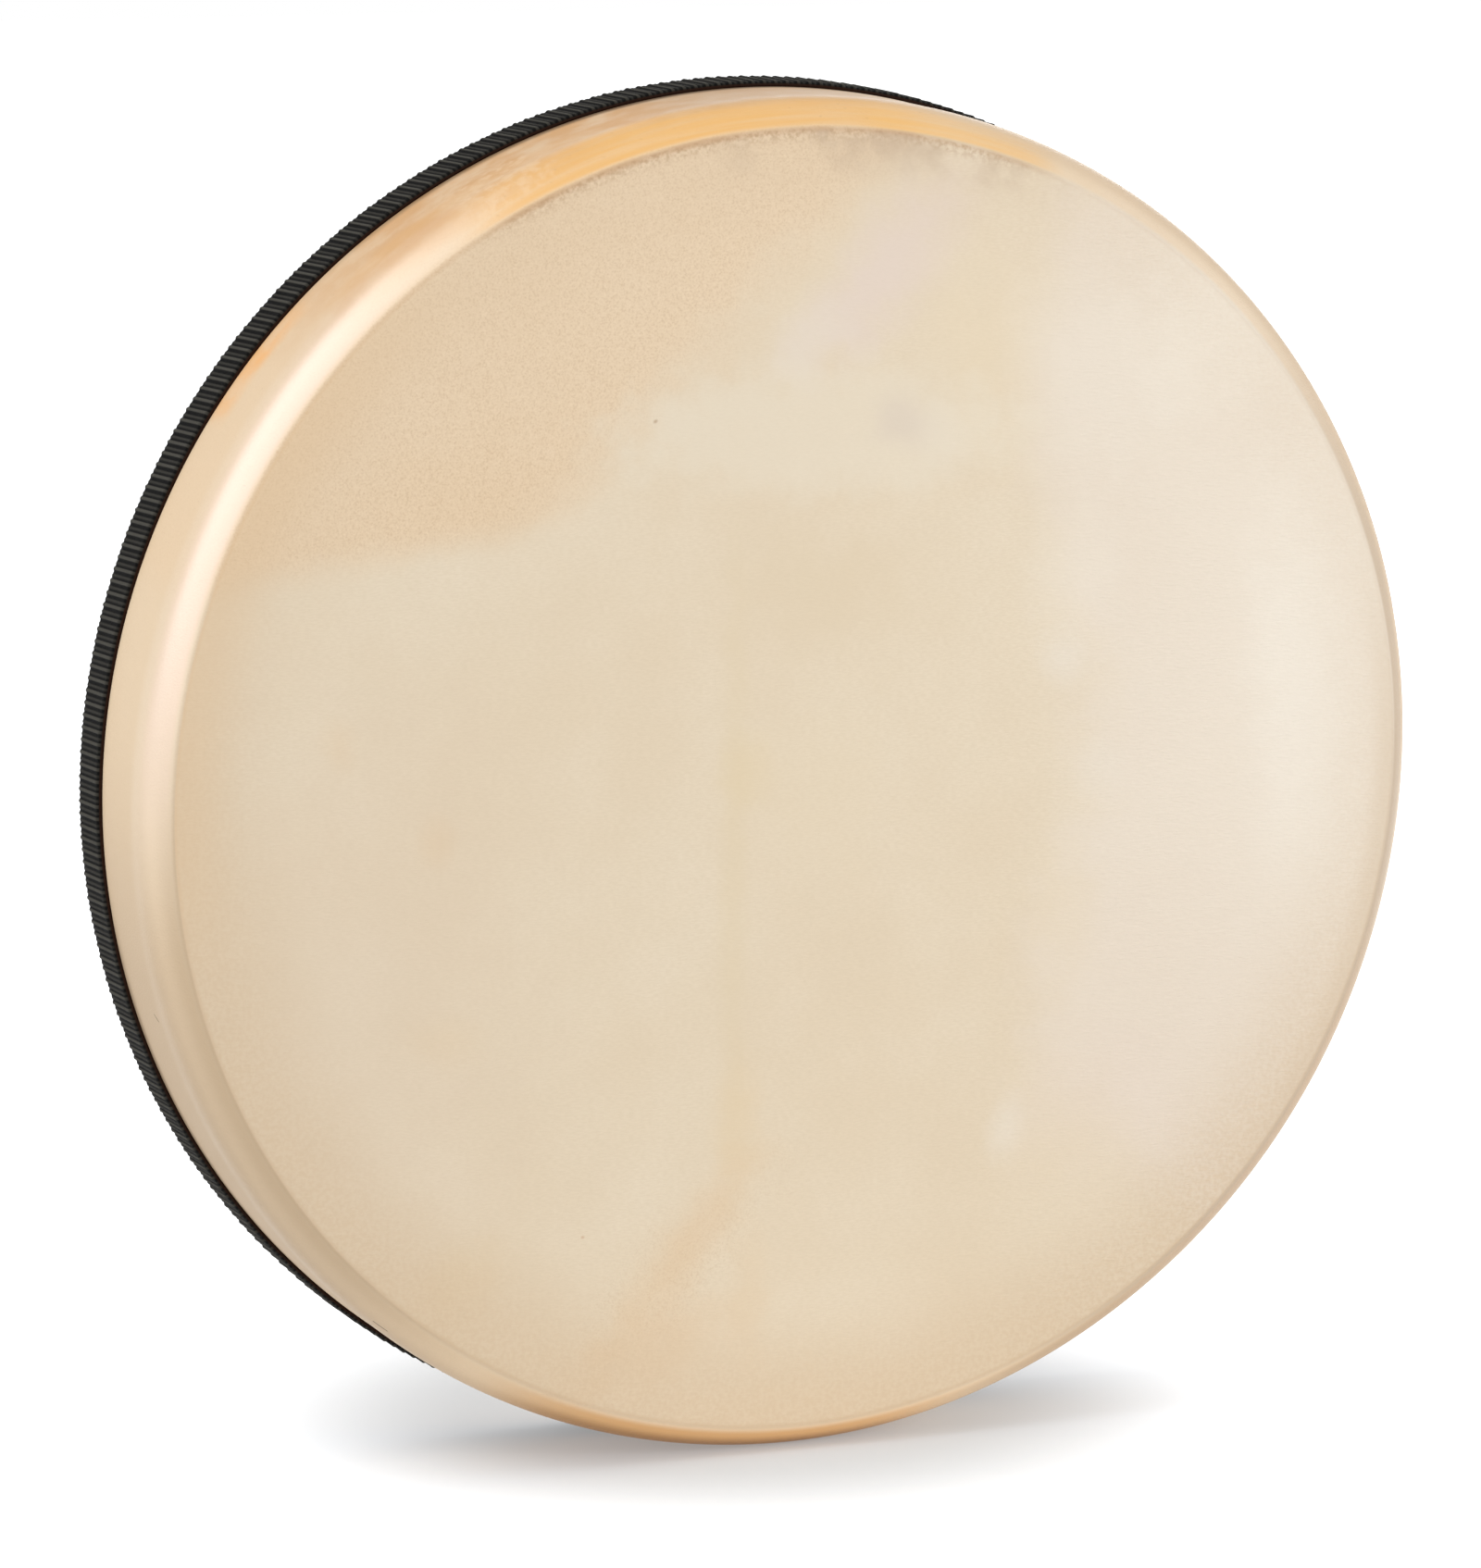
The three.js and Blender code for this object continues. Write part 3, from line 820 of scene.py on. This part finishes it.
steel_balls = bead_finish()
for row in range(1, BEAD_ROWS + 1):
    nodes = [f"bead_{row}_{i}" for i in range(1, BEADS_PER_ROW + 1)]
    grids = [ball_grid(node) for node in nodes]
    make_piece(f"bead_row_{row}_balls", grids, f"bead_row_{row}", steel_balls, nodes)

# %% [markdown]
# ## Hoop and tacks
#
# The hoop is one strip of pale wood, steamed and bent, so its grain runs round the drum. Its
# solid has the right shape, so it only needs a finish. The grain is noise that is drawn out
# along the turn. The seam of the turn lies at the scarf joint, where the grain really ends.

# %% Bent wood finish
SCARF_ANGLE = -37.5


def wood_finish():
    """Pale bent wood: growth lines along the strip, fine pores, and darker patches."""
    material, shader, start = new_finish("bent wood")
    across, along, up = drum_place(start).split()
    cos, sin = math.cos(math.radians(SCARF_ANGLE + 180)), math.sin(math.radians(SCARF_ANGLE + 180))
    ahead, aside = cos * across + sin * up, cos * up - sin * across
    turn = aside.math("ARCTAN2", aside, ahead)
    radius = (across * across + up * up) ** 0.5
    strip = start.add("CombineXYZ", sockets={0: turn * 6, 1: along, 2: radius})
    growth = noise(strip, 3.5, 3)
    lines = (growth * 60).math("SINE", growth * 60)
    pores = noise(strip, 0.5, 2, shift=20)
    patch = noise(strip, 14, 3, shift=60)
    colour = lines.step(-0.6, 1.0).mix(paint(212, 172, 122), paint(196, 152, 100))
    colour = (0.6 * pores.step(0.6, 0.75)).mix(colour, paint(160, 116, 70))
    colour = (0.4 * patch.step(0.4, 0.7)).mix(colour, paint(222, 190, 146))
    bump = start.add("Bump", {}, {"Strength": 0.5, "Distance": 0.0001, "Height": lines * 0.4 - pores})
    feed(shader, Base_Color=colour, Roughness=0.62 + 0.14 * pores, Normal=bump)
    return material


# %% Blued steel finish


def tack_finish():
    """Blued steel: dark blue-grey oxide, worn bright in spots."""
    material, shader, start = new_finish("blued steel")
    place = drum_place(start)
    oxide = noise(place, 1.2, 4)
    colour = oxide.step(0.35, 0.65).mix(paint(74, 80, 92), paint(112, 116, 124))
    colour = oxide.step(0.68, 0.75).mix(colour, paint(186, 184, 180))
    feed(shader, Base_Color=colour, Roughness=0.3 + 0.25 * oxide, Metallic=1.0)
    return material


bent_wood, blued_steel = wood_finish(), tack_finish()
for name, node in frame["nodes"].items():
    if name == "hoop" or "tack" in name:
        node.data.materials.clear()
        node.data.materials.append(bent_wood if name == "hoop" else blued_steel)
print("hoop and", sum("tack" in name for name in frame["nodes"]), "tacks have their finishes")

# %% [markdown]
# ## Floor and light
#
# The drum stands on plain white, with a soft shadow under it. A large white floor would do,
# but lamps close by leave its far end grey. So the floor blends from a pale grey near the
# foot to plain white, by distance from the drum, and that grey disc is a painted soft shadow
# laid under the lamps' own. Near the foot the floor also glows faintly, and the glow lights
# the drum from below. The camera and the reflections see a white room, and the light that
# the room sheds stays at a plain level.

# %% Floor and world
FLOOR_REACH, FLOOR_DROP = 8.0, -0.0003
NEAR_GLOW = 0.26
SHADOW_DISC_MIDDLE, SHADOW_DISC_HALF_SIZES = (0, 0.034, 0), (0.205, 0.2, 1)
WORLD_LIGHT = 0.495


def seen_directly(start):
    """1 for rays from the camera, from a gloss and through something, otherwise 0."""
    path = start.add("LightPath", output="Is Camera Ray")
    bent = path.math("MAXIMUM", path.also("Is Glossy Ray"), path.also("Is Transmission Ray"))
    return path.math("MAXIMUM", path, bent)


def floor_finish():
    """Matt pale grey near the foot, a painted soft shadow, with a glow of its own that rises to
    plain white away from the foot. The faint glow near the foot reaches every ray, so it
    also lights the drum from below. The distance is the length of the place, measured in the
    half sizes of an ellipse there."""
    material, shader, start = new_finish("white floor")
    spread = start.add("Mapping", {"vector_type": "TEXTURE"}, {
        "Vector": start.add("TexCoord", output="Object"),
        "Location": SHADOW_DISC_MIDDLE,
        "Scale": SHADOW_DISC_HALF_SIZES,
    })
    far = start.add("VectorMath", {"operation": "LENGTH"}, {0: spread}, 1)
    seen = seen_directly(start)
    beyond = far.step(0.35, 1.0)
    # the faint glow near the foot reaches every ray and lights the drum from below
    glow = NEAR_GLOW * (1 - beyond) + beyond * seen
    # painted soft shadow: the camera sees a pale grey floor near the foot
    feed(shader, Base_Color=seen.mix(paint(228, 228, 228), paint(195, 198, 202)), Roughness=0.9)
    feed(shader, Specular_IOR_Level=0.0, Emission_Color=glow, Emission_Strength=1.0)
    return material


corners = FLOOR_REACH * np.array([[-1, -1], [1, -1], [1, 1], [-1, 1]])
mesh = bpy.data.meshes.new("floor")
mesh.from_pydata(np.c_[corners, np.full(4, FLOOR_DROP)].tolist(), [], [[0, 1, 2, 3]])
mesh.materials.append(floor_finish())
floor = bpy.data.objects.new("floor", mesh)
bpy.context.scene.collection.objects.link(floor)

world = bpy.data.worlds.new("white room")
world.use_nodes = True
bpy.context.scene.world = world
shown = seen_directly(Shade(world.node_tree))
brightness = WORLD_LIGHT + (1 - WORLD_LIGHT) * shown
feed(world.node_tree.nodes["Background"], Color=(1, 1, 1, 1), Strength=brightness)
bpy.context.scene.view_settings.view_transform = "Standard"
print("floor", 2 * FLOOR_REACH, "m wide, room light", WORLD_LIGHT)

# %% [markdown]
# Four soft boxes do the rest. The key stands high on the left and draws the bright band
# along the roll. The fill stands low in front, to the right, and lights the face. Two more
# stand behind on the right: a high one lights the top of the rim, a low one the rear head.
# The white room softens the shadow.

# %% Lamps


def soft_box(name, direction, distance, width, height, power):
    """A rectangular lamp at a distance from the drum's middle, turned to face it."""
    lamp = bpy.data.lights.new(name, "AREA")
    lamp.shape = "RECTANGLE"
    lamp.size, lamp.size_y, lamp.energy = width, height, power
    towards = Vector(direction).normalized()
    box = bpy.data.objects.new(name, lamp)
    box.matrix_world = Matrix.Translation(Vector((0, 0, CENTRE_HEIGHT)) + distance * towards) @ (
        towards.to_track_quat("Z", "Y").to_matrix().to_4x4())
    bpy.context.scene.collection.objects.link(box)
    print(f"{name}: {power} W")


soft_box("key", (-0.8, -0.13, 0.6), 1.6, 0.95, 1.7, 13.5)
soft_box("fill", (0.5, -0.85, 0.16), 1.8, 0.9, 1.2, 15.2)
soft_box("back", (0.45, 0.5, 1.0), 1.9, 1.6, 1.2, 2.4)
soft_box("rear", (0.5, 0.85, 0.16), 1.9, 0.9, 1.2, 7.5)
